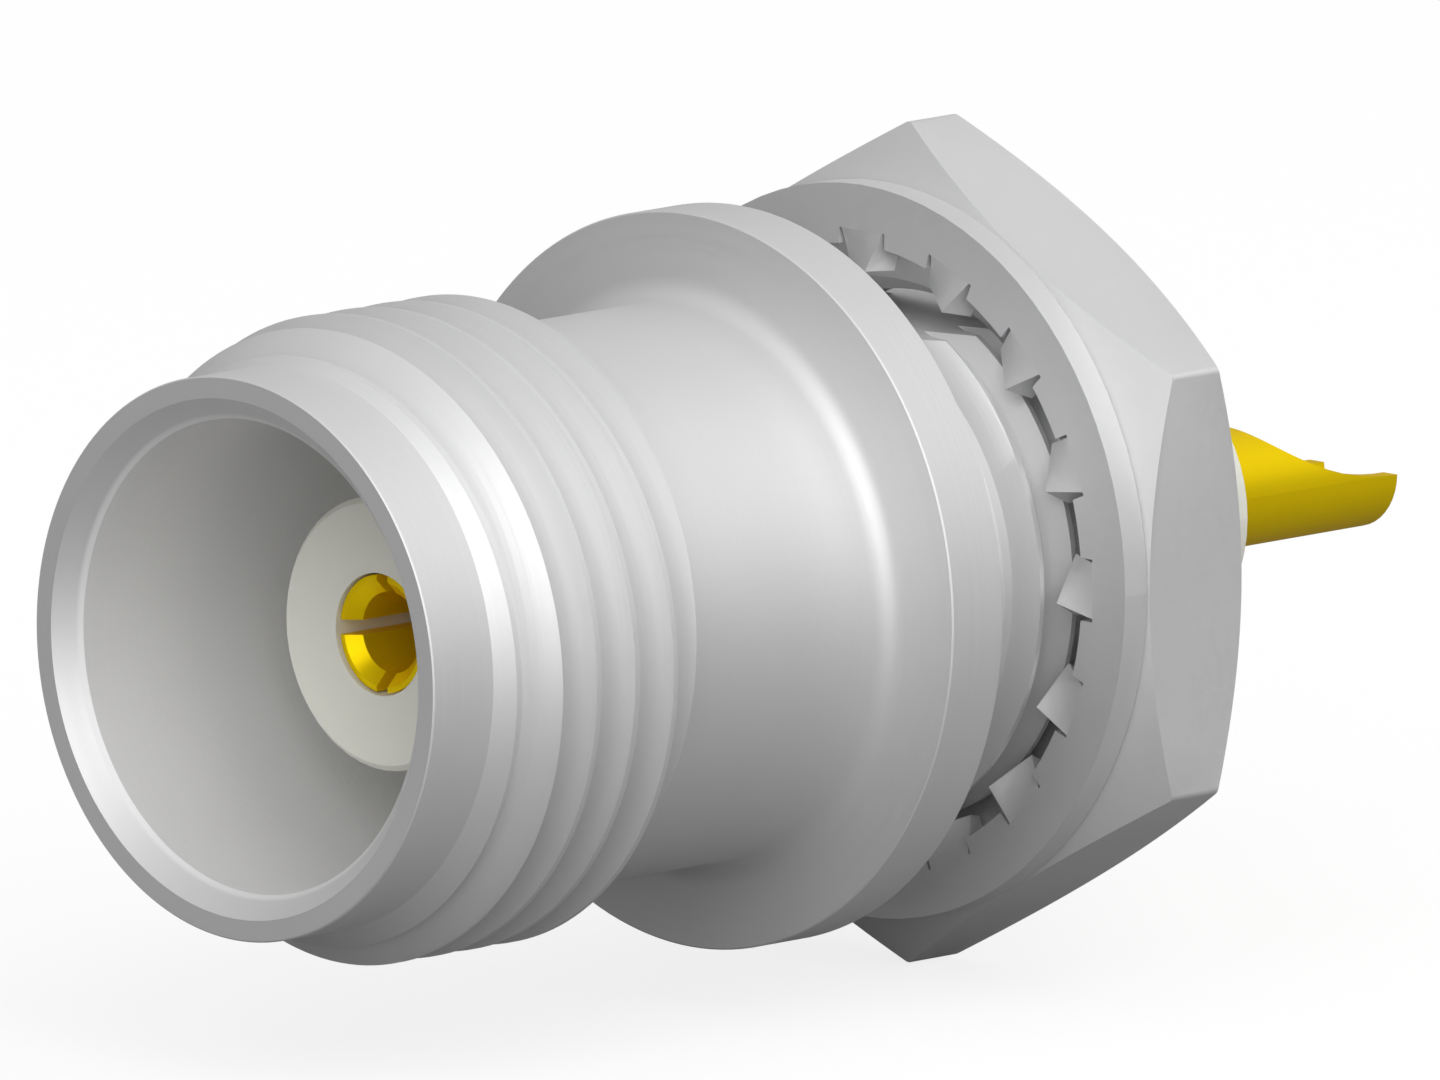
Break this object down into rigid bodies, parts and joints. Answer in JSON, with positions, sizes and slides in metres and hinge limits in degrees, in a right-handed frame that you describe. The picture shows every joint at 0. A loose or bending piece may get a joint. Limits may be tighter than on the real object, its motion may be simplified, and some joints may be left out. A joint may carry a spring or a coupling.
{
  "type": "threaded coaxial bulkhead jack",
  "caption": "Female coaxial jack with a threaded coupling, a panel flange, a lock washer, a hex nut and a solder cup at the rear.",
  "frame": {"origin": "on the axis, at the rear face of the flange, the face that seats on the panel", "axes": "+Y along the axis from the mouth to the solder cup, +Z towards the flat on the rear thread, +X to the right seen from the mouth"},
  "size_m": [0.0126, 0.027, 0.0146],
  "materials": {
    "nickel_plate": "satin nickel plate on brass",
    "ptfe": "white PTFE, waxy",
    "gold_plate": "bright gold plate"
  },
  "bodies": {
    "jack_body": {"shell": "nickel_plate", "front_insulator": "ptfe", "rear_insulator": "ptfe", "retaining_ring": "nickel_plate", "centre_contact": "gold_plate"},
    "washer": {"lock_washer": "nickel_plate"},
    "nut": {"hex_nut": "nickel_plate"}
  },
  "joints": [
    {"name": "washer_slide", "type": "slide", "parent": "jack_body", "child": "washer", "axis": [0, 1, 0], "range_m": [-0.0026, 0.0026]},
    {"name": "nut_turn", "type": "hinge", "parent": "washer", "child": "nut", "pos_m": [0, 0.00464, 0], "axis": [0, 1, 0], "range_deg": [-1180, 1180]}
  ],
  "couplings": [
    {"joint": "nut_turn", "follows": "washer_slide", "rad_per_m": 7915.8}
  ]
}
